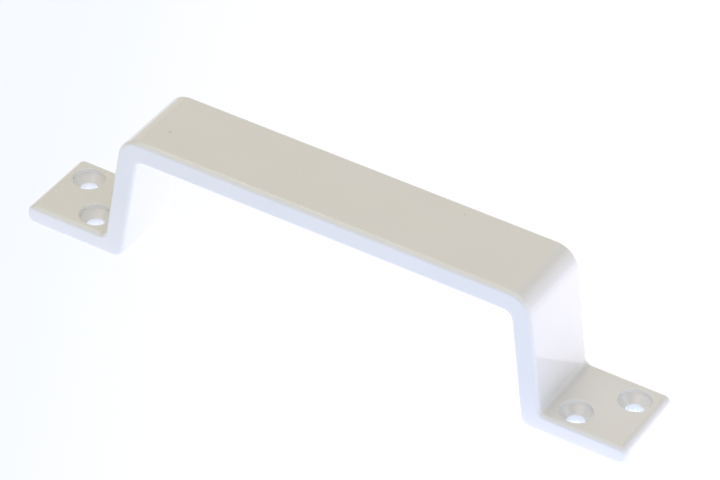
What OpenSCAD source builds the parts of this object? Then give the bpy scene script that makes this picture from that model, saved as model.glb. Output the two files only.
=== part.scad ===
// Case handle: one slice of an aluminium hat profile, with a flat bar, two leaning legs and two feet.
// Its sawn sides have tumbled edges, and each foot has two countersunk screw holes on a diagonal.
// The origin is on the seat of the feet, midway between them. X runs along the bar, Y across it.

/* [Overall] */
// Length over the ends of the feet
length = 150; // [110:1:240]
// Width across the bar and the feet
width = 20.8; // [20:0.1:40]
// Height from the seat of the feet to the top of the bar
height = 33.4; // [24:0.1:60]

/* [Bar and legs] */
// Thickness of the bar that the hand holds
bar_t = 5.3; // [3:0.1:7]
// Thickness of each leg, square to its faces
leg_t = 4.9; // [3:0.1:7]
// Lean of each leg from upright, towards the middle of the bar, in degrees
leg_lean = 8.4; // [2:0.1:16]

/* [Feet] */
// Thickness of each foot
foot_t = 4.6; // [4:0.1:7]
// Length of each foot, from its end to the outer face of the leg
foot_len = 20.5; // [20.1:0.1:32]

/* [Corners of the profile] */
// Radius outside the corner of bar and leg
crown_r = 5.7; // [2:0.1:7]
// Radius inside the corner of bar and leg
grip_r = 2.2; // [1:0.1:6]
// Radius in the fold of leg and foot
fold_r = 1.6; // [0.8:0.1:2.2]
// Radius under the heel, where the inside of the leg meets the seat
heel_r = 2.6; // [1.2:0.1:3.6]
// Radius of both corners at the end of each foot
toe_r = 1.9; // [1.2:0.1:2.1]

/* [Sawn sides] */
// Radius that tumbling leaves along the edges of both sawn sides
edge_r = 1; // [0.4:0.05:1.3]

/* [Screw holes] */
// Bore of each screw hole
bore_d = 4; // [3:0.1:5]
// Diameter of the countersink's straight lip
sink_d = 7.3; // [6.6:0.1:7.7]
// Full angle of the countersink's cone, in degrees
sink_angle = 90; // [80:1:100]
// Depth of the straight lip above the cone
sink_lip = 1; // [0.5:0.1:1.4]
// Radius that softens the rim of the countersink
rim_r = 0.3; // [0.1:0.05:0.35]
// Distance from the end of a foot to its outer hole
outer_hole_in = 6.1; // [5.9:0.1:6.6]
// Distance from the end of a foot to its inner hole
inner_hole_in = 14.6; // [13.6:0.1:15.1]
// Distance of each hole from the middle line of the foot
hole_off = 4.95; // [4:0.05:5.4]

/* [Hidden] */
$fn = 96;
paint = [0.93, 0.93, 0.91];
// How far a cutter reaches out past the surface that it cuts
past = 0.5;
// Arcs are set this far past touching, so that each one crosses the flat beside it
bite = 0.001;
// Of two cutters that meet along an edge, one stops this short of the meeting and the other runs on by lap
nip = 0.02;
lap = 0.3;

end_x = length / 2;
heel_x = end_x - foot_len;
leg_span = leg_t / cos(leg_lean);
sink_h = (sink_d - bore_d) / 2 / tan(sink_angle / 2);

// Where the outer and the inner face of the right leg stand at height z
function leg_out(z) = heel_x - (z - foot_t) * tan(leg_lean);
function leg_in(z) = leg_out(z) - leg_span;

// Sharp corners of the right half, from the top of the bar round to its underside, with their radii
right_half = [
    [leg_out(height), height, crown_r],
    [leg_out(foot_t), foot_t, fold_r],
    [end_x, foot_t, toe_r],
    [end_x, 0, toe_r],
    [leg_in(0), 0, heel_r],
    [leg_in(height - bar_t), height - bar_t, grip_r],
];
left_half = [for (i = [len(right_half) - 1 : -1 : 0]) [-right_half[i].x, right_half[i].y, right_half[i].z]];
corners = concat(right_half, left_half);
n = len(corners);
all_corners = [0 : n - 1];

function unit(v) = v / norm(v);
function radius(i) = corners[(i + n) % n].z;
function corner(i) = [corners[(i + n) % n].x, corners[(i + n) % n].y];
// Direction of the side that leaves corner i, and the normal that points out of the material there
function along(i) = unit(corner(i + 1) - corner(i));
function outward(i) = [-along(i).y, along(i).x];
function heading(i) = atan2(along(i).y, along(i).x);
// 1 where the outline bulges at corner i, -1 where it folds in
function bulge(i) = cross(along(i - 1), along(i)) < 0 ? 1 : -1;
// Angle that the outline turns through at corner i, and how far the arc reaches along each side
function turned(i) = acos(along(i - 1) * along(i));
function reach(i) = radius(i) * tan(turned(i) / 2);
// Start, end and centre of the arc at corner i
function arc_in(i) = corner(i) - along(i - 1) * reach(i);
function arc_out(i) = corner(i) + along(i) * reach(i);
function arc_mid(i) = arc_out(i) - (outward(i) * radius(i) - (outward(i - 1) + outward(i)) * bite) * bulge(i);

// What lies between the sharp corner i and its arc, reaching past the corner
module corner_web(i) {
    grow_in = outward(i - 1) * past * bulge(i);
    grow_out = outward(i) * past * bulge(i);
    tall = width + (bulge(i) > 0 ? 2 * past : 0);
    difference() {
        linear_extrude(tall, center = true) polygon([
            arc_mid(i),
            arc_in(i),
            arc_in(i) + grow_in,
            corner(i) + grow_in + grow_out,
            arc_out(i) + grow_out,
            arc_out(i),
        ]);
        translate(arc_mid(i)) cylinder(r = radius(i), h = tall + past, center = true);
    }
}

// The hat profile with its round corners and square sawn edges, standing up along Z
module slice() {
    difference() {
        union() {
            linear_extrude(width, center = true) polygon([for (i = all_corners) corner(i)]);
            for (i = all_corners) if (bulge(i) < 0) corner_web(i);
        }
        for (i = all_corners) if (bulge(i) > 0) corner_web(i);
    }
}

// Section of what is cut off a square edge to round it, with the edge at the origin and the material below left
module edge_section(r) {
    difference() {
        polygon([[-r, -r], [past, -r], [past, past], [-r, past]]);
        translate([2 * bite - r, 2 * bite - r]) circle(r = r);
    }
}

// Cuts one sawn edge round along the straight side that leaves corner i
module side_cutter(i) {
    start = bulge(i) > 0 ? lap : -nip;
    end = bulge(i + 1) > 0 ? lap : -nip;
    translate(arc_out(i)) rotate(heading(i)) translate([-start, 0, width / 2])
        rotate([90, 0, 90]) linear_extrude(norm(arc_in(i + 1) - arc_out(i)) + start + end) edge_section(edge_r);
}

// Cuts one sawn edge round along the arc at corner i
module arc_cutter(i) {
    first = bulge(i) > 0 ? heading(i) + 90 : heading(i - 1) - 90;
    over = (bulge(i) > 0 ? -nip : lap) / radius(i) * 180 / PI;
    translate([arc_mid(i).x, arc_mid(i).y, width / 2]) rotate(first - over)
        rotate_extrude(angle = turned(i) + 2 * over)
            translate([radius(i), 0]) mirror([bulge(i) > 0 ? 0 : 1, 0]) edge_section(edge_r);
}

module both_sides() {
    children();
    mirror([0, 0, 1]) children();
}

// The slice with the edges of both sawn sides tumbled, lying with its seat on the ground
module tumbled_slice() {
    rotate([90, 0, 0]) difference() {
        difference() {
            slice();
            both_sides() for (i = all_corners) side_cutter(i);
        }
        both_sides() for (i = all_corners) arc_cutter(i);
    }
}

// Bore, cone, straight lip and soft rim of one screw hole, cut down from the top of a foot
module screw_hole() {
    rotate_extrude() polygon([
        [0, -past],
        [bore_d / 2, -past],
        [bore_d / 2, foot_t - sink_lip - sink_h],
        [sink_d / 2, foot_t - sink_lip],
        [sink_d / 2, foot_t + past],
        [0, foot_t + past],
    ]);
    translate([0, 0, foot_t]) rotate_extrude() translate([sink_d / 2, 0]) mirror([1, 0]) edge_section(rim_r);
}

module handle() {
    color(paint) difference() {
        tumbled_slice();
        for (side = [-1, 1]) {
            translate([side * (end_x - outer_hole_in), hole_off, 0]) screw_hole();
            translate([side * (end_x - inner_hole_in), -hole_off, 0]) screw_hole();
        }
    }
}

handle();
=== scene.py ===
import math

import bmesh
import bpy
from mathutils import Matrix, Vector


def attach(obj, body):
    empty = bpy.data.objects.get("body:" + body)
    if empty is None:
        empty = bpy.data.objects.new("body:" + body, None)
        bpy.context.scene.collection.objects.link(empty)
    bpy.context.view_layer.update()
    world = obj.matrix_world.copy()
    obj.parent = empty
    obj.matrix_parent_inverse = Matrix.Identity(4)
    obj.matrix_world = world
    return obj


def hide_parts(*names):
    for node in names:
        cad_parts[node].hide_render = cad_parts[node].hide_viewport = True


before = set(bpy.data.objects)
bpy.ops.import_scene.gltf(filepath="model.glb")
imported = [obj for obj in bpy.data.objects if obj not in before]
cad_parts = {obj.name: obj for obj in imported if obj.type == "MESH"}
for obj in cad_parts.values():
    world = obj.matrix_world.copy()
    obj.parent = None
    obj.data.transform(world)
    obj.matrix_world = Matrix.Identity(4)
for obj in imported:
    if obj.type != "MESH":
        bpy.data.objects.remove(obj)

# The default scene's own objects aren't part of this one
for name in ("Cube", "Light", "Camera"):
    if name in bpy.data.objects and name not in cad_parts:
        bpy.data.objects.remove(bpy.data.objects[name])
bpy.context.view_layer.update()

MM = 0.001

# Sizes of the handle in mm, the same as in the CAD source
LENGTH, WIDTH, HEIGHT = 150.0, 20.8, 33.4
BAR_T, LEG_T, LEG_LEAN = 5.3, 4.9, math.radians(8.4)
FOOT_T, FOOT_LEN = 4.6, 20.5
CROWN_R, GRIP_R, FOLD_R, HEEL_R, TOE_R = 5.7, 2.2, 1.6, 2.6, 1.9
EDGE_R = 1.0
BORE_D, SINK_D, SINK_ANGLE, SINK_LIP, RIM_R = 4.0, 7.3, math.radians(90.0), 1.0, 0.3
OUTER_HOLE_IN, INNER_HOLE_IN, HOLE_OFF = 6.1, 14.6, 4.95
# The coating fills or softens the small corners inside each hole to this radius
COAT_R = 0.14

END_X = LENGTH / 2
HEEL_X = END_X - FOOT_LEN
# How far the line of a hole's section runs on past its first and its last arc, in mm
RUN_ON = 0.1

# Steps of the mesh in a corner of the profile, a tumbled edge, the round of a hole and a corner in it
ARC_STEPS, EDGE_STEPS, HOLE_STEPS, HOLE_ARC_STEPS = 30, 14, 128, 12

# The coat's colour, its lighter and darker tints as factors, and its colour where it is thin
PAINT = (0.86, 0.85, 0.81)
LIGHT_TINT, DARK_TINT = (1.008, 1.008, 1.006), (0.985, 0.984, 0.978)
THIN_PAINT = (0.83, 0.80, 0.72, 1)
# How far the mottle darkens at most, the most thin colour on an edge, and the least as a share of that
MOTTLE_MOST, THIN_MOST, THIN_LEAST = 0.25, 0.5, 0.5
# Scales of the coat's noises per metre, and the part of each noise's range that is spread out
CLOUDS, MOTTLE, THINNING, PEEL, FINE_PEEL = 55.0, 900.0, 260.0, 620.0, 2600.0
NARROW, BROAD = (0.35, 0.65), (0.3, 0.7)
# The orange peel's strength, its depth in metres, its noise's roughness and the share of its fine grain
PEEL_STRENGTH, PEEL_DEPTH, PEEL_ROUGH, FINE_SHARE = 0.35, 0.00002, 0.45, 0.18
# The coat's gloss: clouds count for the first share of it and mottle for the second
GLOSS_SHARES, GLOSS = (0.6, 0.4), (0.08, 0.13)
PAINT_IOR, GLAZE_IOR, GLAZE_ROUGH = 1.5, 1.6, 0.05

# Specks on top of the bar in mm: centre, half length, half width, direction in degrees, strength
SPECK_COLOUR = (0.44, 0.39, 0.35, 1)
SPECKS = (
    (-42.13, -2.90, 0.52, 0.13, -56.6, 0.60),
    (-42.47, -3.20, 0.42, 0.18, 101.8, 0.32),
    (24.90, 7.02, 0.40, 0.13, -56.6, 0.36),
)
# A speck fades between these shares of its half sizes, and is no deeper below the top than this in mm
SPECK_FADE, SPECK_DEPTH = (0.6, 1.2), 0.5

# The studio by direction, fitted to the photo's tones: a low and a middle band round the handle, and the top
LOW_RIGHT, LOW_LEFT, LOW_FRONT = (1.07, 1.10, 1.31, 1), (0.68, 0.49, 0.39, 1), (0.30, 0.40, 0.37, 1)
LOW_BACK_RIGHT, LOW_BACK_LEFT = (0.10, 0.09, 0.02, 1), (0.88, 0.90, 0.94, 1)
MID_RIGHT, MID_LEFT, MID_FRONT = (0.25, 0.13, 0.02, 1), (0.37, 0.40, 0.17, 1), (1.33, 1.10, 1.17, 1)
MID_BACK_RIGHT, MID_BACK_LEFT = (0.10, 0.06, 0.02, 1), (0.72, 0.58, 0.54, 1)
TOP = (0.89, 0.96, 0.93, 1)
# Sines of the elevation where the low band meets the middle one, at left and right, and where the top starts
MID_FROM, MID_FROM_ALONG, MID_BLEND = (0.42, 0.615), (-0.2, 0.2), 0.012
TOP_BLEND = (0.76, 0.84)
# The back is split into left and right between these sines of the direction's azimuth
BACK_SPLIT = (-0.4, 0.4)
# Keeps the division straight above the handle away from zero
LEAST = 0.000001

# The ceiling lamp: its direction, distance and width in metres, its power in watts and its colour
LAMP_TOWARDS, LAMP_DISTANCE, LAMP_SIZE = (-0.41, 0.51, 0.76), 1.5, 0.28
LAMP_POWER, LAMP_COLOUR = 0.54, (1.0, 0.93, 0.78)

# What the floor sends up: fitted to the photo's tones in four quarters near the handle, further out and
# under each foot, and given behind the bar. It lights the handle and isn't seen.
NEAR_FRONT_LEFT, NEAR_FRONT_RIGHT = (0.73, 0.87, 1.12, 1), (0.69, 0.93, 1.53, 1)
NEAR_BACK_LEFT, NEAR_BACK_RIGHT = (1.44, 1.41, 2.21, 1), (2.20, 2.09, 2.60, 1)
BEHIND = (0.90, 0.90, 1.00, 1)
FAR_LEFT, FAR_RIGHT = (0.72, 0.82, 1.35, 1), (1.22, 1.15, 1.26, 1)
UNDER_LEFT, UNDER_RIGHT = (1.36, 1.56, 2.20, 1), (1.21, 1.50, 2.19, 1)
# Where those parts of the floor meet, in metres
RIGHT_BLEND, BACK_BLEND, FAR_BLEND = (-0.06, 0.06), (-0.025, 0.015), (0.12, 0.25)
BEHIND_Y, BEHIND_X = (0.012, 0.030), (0.045, 0.060)
UNDER_X, UNDER_Y = (0.054, 0.0745), 0.0095
# What the camera and reflections see of the floor, at the picture's left and elsewhere, and where it changes
PALE_LEFT, PALE = (0.765, 0.795, 0.87, 1), (0.87, 0.87, 0.88, 1)
PALE_ALONG, PALE_BLEND = (0.916, 0.413), (-0.075, -0.015)
# The floor's matt share, which takes the shadow, its half size and its depth below the seat, in metres
PAPER = (0.22, 0.22, 0.22, 1)
FLOOR_HALF, FLOOR_DROP = 6.0, 0.00002

# The camera, fitted to the photo's edges: its angles, then its lens, sensor, shift and distance in mm,
# and the distances in metres between which it sees
CAM_AZ, CAM_EL, CAM_ROLL = math.radians(30.0476), math.radians(38.0695), math.radians(2.1731)
CAM_LENS, CAM_SENSOR, CAM_SHIFT, CAM_DISTANCE = 208.591, 36.0, (4.025, 16.076), 897.80
CAM_CLIP = (0.01, 50.0)


def leg_out(z):
    """X of the right leg's outer face at height z."""
    return HEEL_X - (z - FOOT_T) * math.tan(LEG_LEAN)


def leg_in(z):
    """X of the right leg's inner face at height z."""
    return leg_out(z) - LEG_T / math.cos(LEG_LEAN)


def rounded(points, radii, steps, closed):
    """Follows a polyline with an arc at each corner and returns (point, left normal) pairs."""
    count = len(points)
    path = []
    for i, (p, r) in enumerate(zip(points, radii)):
        p = Vector(p)
        if not closed and i in (0, count - 1):
            other = Vector(points[1 if i == 0 else count - 2])
            d = (other - p).normalized() if i == 0 else (p - other).normalized()
            path.append((p, Vector((-d.y, d.x))))
            continue
        before = (p - Vector(points[i - 1])).normalized()
        after = (Vector(points[(i + 1) % count]) - p).normalized()
        turn = math.atan2(before.x * after.y - before.y * after.x, before.dot(after))
        reach = r * math.tan(abs(turn) / 2)
        n0 = Vector((-before.y, before.x))
        side = 1.0 if turn > 0 else -1.0
        mid = p - before * reach + n0 * r * side
        for k in range(steps + 1):
            a = turn * k / steps
            n = Vector((n0.x * math.cos(a) - n0.y * math.sin(a), n0.x * math.sin(a) + n0.y * math.cos(a)))
            path.append((mid - n * r * side, n))
    return path


def hat_outline():
    """The profile in X and Z, clockwise from the crown at the right, so its left normals point outwards."""
    right = [
        ((leg_out(HEIGHT), HEIGHT), CROWN_R),
        ((leg_out(FOOT_T), FOOT_T), FOLD_R),
        ((END_X, FOOT_T), TOE_R),
        ((END_X, 0.0), TOE_R),
        ((leg_in(0.0), 0.0), HEEL_R),
        ((leg_in(HEIGHT - BAR_T), HEIGHT - BAR_T), GRIP_R),
    ]
    left = [((-x, z), r) for (x, z), r in reversed(right)]
    both = right + left
    return rounded([p for p, r in both], [r for p, r in both], ARC_STEPS, True)


def straight_after(corner):
    """Sample of the outline where a corner's arc ends and the straight to the next corner begins."""
    return (corner + 1) * (ARC_STEPS + 1) - 1


class Builder:
    """Collects vertices with their exact normals and how far each lies on a rounded edge."""

    def __init__(self):
        self.bm = bmesh.new()
        self.normals = []
        self.rims = []

    def vert(self, co, normal, rim=0.0):
        v = self.bm.verts.new(Vector(co) * MM)
        self.normals.append(Vector(normal).normalized())
        self.rims.append(rim)
        return v

    def face(self, verts):
        self.bm.faces.new(verts)

    def finish(self, name):
        """Makes the object, with its own normals and the rim values as an attribute."""
        mesh = bpy.data.meshes.new(name)
        self.bm.verts.index_update()
        self.bm.to_mesh(mesh)
        self.bm.free()
        for f in mesh.polygons:
            f.use_smooth = True
        rim = mesh.attributes.new("rim", "FLOAT", "POINT")
        rim.data.foreach_set("value", self.rims)
        mesh.normals_split_custom_set_from_vertices([tuple(n) for n in self.normals])
        piece = bpy.data.objects.new(name, mesh)
        bpy.context.scene.collection.objects.link(piece)
        return piece


def outline_rows(b):
    """A row of vertices across the slice at each sample of the outline, rounded at both sawn sides."""
    across = [(1, k) for k in range(EDGE_STEPS + 1)] + [(-1, k) for k in range(EDGE_STEPS, -1, -1)]
    rows = []
    for p, n in hat_outline():
        row = []
        for side, k in across:
            a = math.pi / 2 * k / EDGE_STEPS
            inset = EDGE_R * (1 - math.sin(a))
            y = side * (WIDTH / 2 - EDGE_R * (1 - math.cos(a)))
            row.append(b.vert((p.x - n.x * inset, y, p.y - n.y * inset),
                              (n.x * math.sin(a), side * math.cos(a), n.y * math.sin(a)), math.sin(2 * a)))
        rows.append(row)
    return rows


def hole_section():
    """Section of a screw hole from its rim down to the seat, in radius and height."""
    sink_r, bore_r = SINK_D / 2, BORE_D / 2
    sink_h = (sink_r - bore_r) / math.tan(SINK_ANGLE / 2)
    points = [
        (sink_r + RIM_R + RUN_ON, FOOT_T),
        (sink_r, FOOT_T),
        (sink_r, FOOT_T - SINK_LIP),
        (bore_r, FOOT_T - SINK_LIP - sink_h),
        (bore_r, 0.0),
        (bore_r + COAT_R + RUN_ON, 0.0),
    ]
    radii = [0, RIM_R, COAT_R, COAT_R, COAT_R, 0]
    return rounded(points, radii, HOLE_ARC_STEPS, False)[1:-1]


def hole_wall(b, section, cx, cy):
    """Builds the wall of one hole and returns its top ring and its bottom ring."""
    rings = []
    for p, n in section:
        ring = []
        for t in range(HOLE_STEPS):
            a = 2 * math.pi * t / HOLE_STEPS
            ring.append(b.vert((cx + p.x * math.cos(a), cy + p.x * math.sin(a), p.y),
                               (-n.x * math.cos(a), -n.x * math.sin(a), -n.y)))
        rings.append(ring)
    for last, ring in zip(rings, rings[1:]):
        for t in range(HOLE_STEPS):
            u = (t + 1) % HOLE_STEPS
            b.face([last[t], last[u], ring[u], ring[t]])
    return rings[0], rings[-1]


def holed_face(b, corners, rings, above):
    """Fills the flat face of a foot round its two holes."""
    edges = set()
    for loop in [corners] + rings:
        for a, c in zip(loop, loop[1:] + loop[:1]):
            edges.add(b.bm.edges.get((a, c)) or b.bm.edges.new((a, c)))
    up = Vector((0, 0, 1 if above else -1))
    made = bmesh.ops.triangle_fill(b.bm, use_beauty=True, edges=list(edges), normal=up)
    for f in [g for g in made["geom"] if isinstance(g, bmesh.types.BMFace)]:
        f.normal_update()
        if f.normal.dot(up) < 0:
            f.normal_flip()


def build_handle():
    b = Builder()
    rows = outline_rows(b)
    count = len(rows)
    flat = EDGE_STEPS
    # The straights that the holes go through, by the foot's side and whether it is the face above
    holed = {straight_after(1): (1, True), straight_after(3): (1, False),
             straight_after(7): (-1, False), straight_after(9): (-1, True)}
    for i in range(count):
        j = (i + 1) % count
        for k in range(len(rows[i]) - 1):
            if k == flat and i in holed:
                continue
            b.face([rows[i][k], rows[i][k + 1], rows[j][k + 1], rows[j][k]])
    b.face([row[0] for row in rows])
    b.face([row[-1] for row in reversed(rows)])

    section = hole_section()
    rings = {key: [] for key in holed.values()}
    for side in (-1, 1):
        for into, off in ((OUTER_HOLE_IN, HOLE_OFF), (INNER_HOLE_IN, -HOLE_OFF)):
            top_ring, seat_ring = hole_wall(b, section, side * (END_X - into), off)
            rings[side, True].append(top_ring)
            rings[side, False].append(seat_ring)
    for i, (side, above) in holed.items():
        j = (i + 1) % count
        corners = [rows[i][flat], rows[j][flat], rows[j][flat + 1], rows[i][flat + 1]]
        holed_face(b, corners, rings[side, above], above)
    return b.finish("handle_coated")


class Nodes:
    """Short calls for making and linking nodes."""

    def __init__(self, tree):
        self.tree = tree
        tree.nodes.clear()

    def new(self, kind, inputs=None, **settings):
        node = self.tree.nodes.new(kind)
        for key, value in settings.items():
            setattr(node, key, value)
        for key, value in (inputs or {}).items():
            if isinstance(value, bpy.types.NodeSocket):
                self.tree.links.new(value, node.inputs[key])
            else:
                node.inputs[key].default_value = value
        return node

    def math(self, op, *values):
        return self.new("ShaderNodeMath", dict(enumerate(values)), operation=op).outputs[0]

    def plus(self, a, b):
        return self.math("ADD", a, b)

    def times(self, a, b):
        return self.math("MULTIPLY", a, b)

    def more(self, a, b):
        return self.math("GREATER_THAN", a, b)

    def less(self, a, b):
        return self.math("LESS_THAN", a, b)

    def length(self, a, b):
        return self.math("SQRT", self.plus(self.times(a, a), self.times(b, b)))

    def parts(self, vector):
        return self.new("ShaderNodeSeparateXYZ", {0: vector}).outputs

    def mix(self, factor, a, b):
        return self.new("ShaderNodeMix", {0: factor, 6: a, 7: b}, data_type="RGBA").outputs[2]

    def noise(self, coords, scale, detail=2.0, rough=0.5):
        inputs = {"Vector": coords, "Scale": scale, "Detail": detail, "Roughness": rough}
        return self.new("ShaderNodeTexNoise", inputs, noise_dimensions="3D").outputs["Fac"]

    def spread(self, value, reach, low=0.0, high=1.0):
        """From low to high as the value runs through the reach, and level outside it."""
        inputs = {"Value": value, "From Min": reach[0], "From Max": reach[1], "To Min": low, "To Max": high}
        return self.new("ShaderNodeMapRange", inputs, clamp=True).outputs["Result"]


def speck_mask(n, coords, cx, cy, half_len, half_wid, angle, strength):
    """Strength at the middle of a small streak on top of the bar, none outside it."""
    x, y, z = n.parts(coords)
    dx, dy = n.math("SUBTRACT", x, cx * MM), n.math("SUBTRACT", y, cy * MM)
    c, s = math.cos(math.radians(angle)), math.sin(math.radians(angle))
    u = n.plus(n.times(dx, c / (half_len * MM)), n.times(dy, s / (half_len * MM)))
    v = n.plus(n.times(dx, -s / (half_wid * MM)), n.times(dy, c / (half_wid * MM)))
    on_top = n.more(z, (HEIGHT - SPECK_DEPTH) * MM)
    return n.times(n.spread(n.length(u, v), SPECK_FADE, strength, 0.0), on_top)


def tinted(tint):
    return tuple(c * t for c, t in zip(PAINT, tint)) + (1,)


def powder_coat():
    material = bpy.data.materials.new("powder_coat_white")
    material.use_nodes = True
    n = Nodes(material.node_tree)
    coords = n.new("ShaderNodeTexCoord").outputs["Object"]
    cloud = n.noise(coords, CLOUDS, 3.0)
    mottle = n.noise(coords, MOTTLE)
    colour = n.mix(n.spread(cloud, NARROW), tinted(LIGHT_TINT), tinted(DARK_TINT))
    colour = n.mix(n.spread(mottle, BROAD, 0.0, MOTTLE_MOST), colour, tinted(DARK_TINT))
    for speck in SPECKS:
        colour = n.mix(speck_mask(n, coords, *speck), colour, SPECK_COLOUR)
    rim = n.new("ShaderNodeAttribute", attribute_name="rim").outputs["Fac"]
    thin = n.times(rim, n.spread(n.noise(coords, THINNING), NARROW, THIN_LEAST, 1.0))
    colour = n.mix(n.times(thin, THIN_MOST), colour, THIN_PAINT)
    peel = n.noise(coords, PEEL, 2.0, PEEL_ROUGH)
    height = n.plus(peel, n.times(n.noise(coords, FINE_PEEL, 1.0), FINE_SHARE))
    bump = n.new("ShaderNodeBump", {"Height": height, "Strength": PEEL_STRENGTH, "Distance": PEEL_DEPTH})
    uneven = n.plus(n.times(cloud, GLOSS_SHARES[0]), n.times(mottle, GLOSS_SHARES[1]))
    shader = n.new("ShaderNodeBsdfPrincipled", {
        "Base Color": colour,
        "Roughness": n.spread(uneven, BROAD, *GLOSS),
        "IOR": PAINT_IOR,
        "Normal": bump.outputs["Normal"],
        "Coat Weight": 1.0,
        "Coat Roughness": GLAZE_ROUGH,
        "Coat IOR": GLAZE_IOR,
    })
    n.new("ShaderNodeOutputMaterial", {"Surface": shader.outputs[0]})
    return material


def seen_directly(n):
    """1 for rays of the camera, of reflections and through glass."""
    path = n.new("ShaderNodeLightPath").outputs
    mirrored = n.math("MAXIMUM", path["Is Glossy Ray"], path["Is Transmission Ray"])
    return n.math("MAXIMUM", path["Is Camera Ray"], mirrored)


def make_world():
    world = bpy.data.worlds.new("studio")
    bpy.context.scene.world = world
    world.use_nodes = True
    n = Nodes(world.node_tree)
    x, y, z = n.parts(n.new("ShaderNodeTexCoord").outputs["Generated"])
    flat = n.math("MAXIMUM", n.plus(n.times(x, x), n.times(y, y)), LEAST)
    sideways = n.math("DIVIDE", n.times(x, x), flat)
    to_right, to_back = n.more(x, 0.0), n.more(y, 0.0)
    split = n.spread(n.math("DIVIDE", x, n.math("SQRT", flat)), BACK_SPLIT)

    def band(right, left, front, back_right, back_left):
        ahead = n.mix(to_back, front, n.mix(split, back_left, back_right))
        return n.mix(sideways, ahead, n.mix(to_right, left, right))

    low = band(LOW_RIGHT, LOW_LEFT, LOW_FRONT, LOW_BACK_RIGHT, LOW_BACK_LEFT)
    mid = band(MID_RIGHT, MID_LEFT, MID_FRONT, MID_BACK_RIGHT, MID_BACK_LEFT)
    over = n.math("SUBTRACT", z, n.spread(x, MID_FROM_ALONG, *MID_FROM))
    sides = n.mix(n.spread(over, (-MID_BLEND, MID_BLEND)), low, mid)
    colour = n.mix(n.spread(z, TOP_BLEND), sides, TOP)
    back = n.new("ShaderNodeBackground", {"Color": colour, "Strength": 1.0})
    n.new("ShaderNodeOutputWorld", {"Surface": back.outputs[0]})


def make_lamp():
    """The ceiling lamp, which the rounded front edges mirror as a thin warm line."""
    light = bpy.data.lights.new("ceiling", "AREA")
    light.shape = "DISK"
    light.size = LAMP_SIZE
    light.energy = LAMP_POWER
    light.color = LAMP_COLOUR
    lamp = bpy.data.objects.new("ceiling", light)
    lamp.location = Vector(LAMP_TOWARDS).normalized() * LAMP_DISTANCE
    lamp.rotation_mode = "QUATERNION"
    lamp.rotation_quaternion = lamp.location.to_track_quat("Z", "Y")
    bpy.context.scene.collection.objects.link(lamp)


def floor_glow(n, x, y):
    """What each place on the floor sends up."""
    to_right, to_back = n.spread(x, RIGHT_BLEND), n.spread(y, BACK_BLEND)
    near = n.mix(to_back, n.mix(to_right, NEAR_FRONT_LEFT, NEAR_FRONT_RIGHT),
                 n.mix(to_right, NEAR_BACK_LEFT, NEAR_BACK_RIGHT))
    far = n.mix(to_right, FAR_LEFT, FAR_RIGHT)
    glow = n.mix(n.spread(n.length(x, y), FAR_BLEND), near, far)
    out_x, out_y = n.math("ABSOLUTE", x), n.math("ABSOLUTE", y)
    behind = n.times(n.spread(y, BEHIND_Y), n.spread(out_x, BEHIND_X, 1.0, 0.0))
    glow = n.mix(behind, glow, BEHIND)
    along_foot = n.times(n.more(out_x, UNDER_X[0]), n.less(out_x, UNDER_X[1]))
    under = n.times(along_foot, n.less(out_y, UNDER_Y))
    return n.mix(under, glow, n.mix(n.more(x, 0.0), UNDER_LEFT, UNDER_RIGHT))


def make_floor():
    mesh = bpy.data.meshes.new("floor")
    bm = bmesh.new()
    bmesh.ops.create_grid(bm, x_segments=1, y_segments=1, size=FLOOR_HALF)
    bm.to_mesh(mesh)
    bm.free()
    floor = bpy.data.objects.new("floor", mesh)
    floor.location.z = -FLOOR_DROP
    bpy.context.scene.collection.objects.link(floor)
    material = bpy.data.materials.new("floor_white")
    material.use_nodes = True
    n = Nodes(material.node_tree)
    x, y, _ = n.parts(n.new("ShaderNodeTexCoord").outputs["Object"])
    across = n.plus(n.times(x, PALE_ALONG[0]), n.times(y, PALE_ALONG[1]))
    pale = n.mix(n.spread(across, PALE_BLEND), PALE_LEFT, PALE)
    colour = n.mix(seen_directly(n), floor_glow(n, x, y), pale)
    glow = n.new("ShaderNodeEmission", {"Color": colour, "Strength": 1.0})
    paper = n.new("ShaderNodeBsdfDiffuse", {"Color": PAPER})
    both = n.new("ShaderNodeAddShader", {0: glow.outputs[0], 1: paper.outputs[0]})
    n.new("ShaderNodeOutputMaterial", {"Surface": both.outputs[0]})
    mesh.materials.append(material)


def make_camera():
    level = math.cos(CAM_EL)
    back = Vector((math.sin(CAM_AZ) * level, -math.cos(CAM_AZ) * level, math.sin(CAM_EL)))
    right = Vector((0, 0, 1)).cross(back).normalized()
    up = back.cross(right)
    across = right * math.cos(CAM_ROLL) + up * math.sin(CAM_ROLL)
    upward = up * math.cos(CAM_ROLL) - right * math.sin(CAM_ROLL)
    camera = bpy.data.objects.new("camera", bpy.data.cameras.new("camera"))
    bpy.context.scene.collection.objects.link(camera)
    camera.data.sensor_width = CAM_SENSOR
    camera.data.lens = CAM_LENS
    camera.data.clip_start, camera.data.clip_end = CAM_CLIP
    place = (back * CAM_DISTANCE + across * CAM_SHIFT[0] + upward * CAM_SHIFT[1]) * MM
    camera.matrix_world = Matrix.Translation(place) @ Matrix((across, upward, back)).transposed().to_4x4()
    bpy.context.scene.camera = camera


handle = build_handle()
handle.data.materials.append(powder_coat())
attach(handle, "root")
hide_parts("handle")
make_world()
make_lamp()
make_floor()
make_camera()
bpy.context.scene.view_settings.view_transform = "Standard"

bpy.context.view_layer.update()
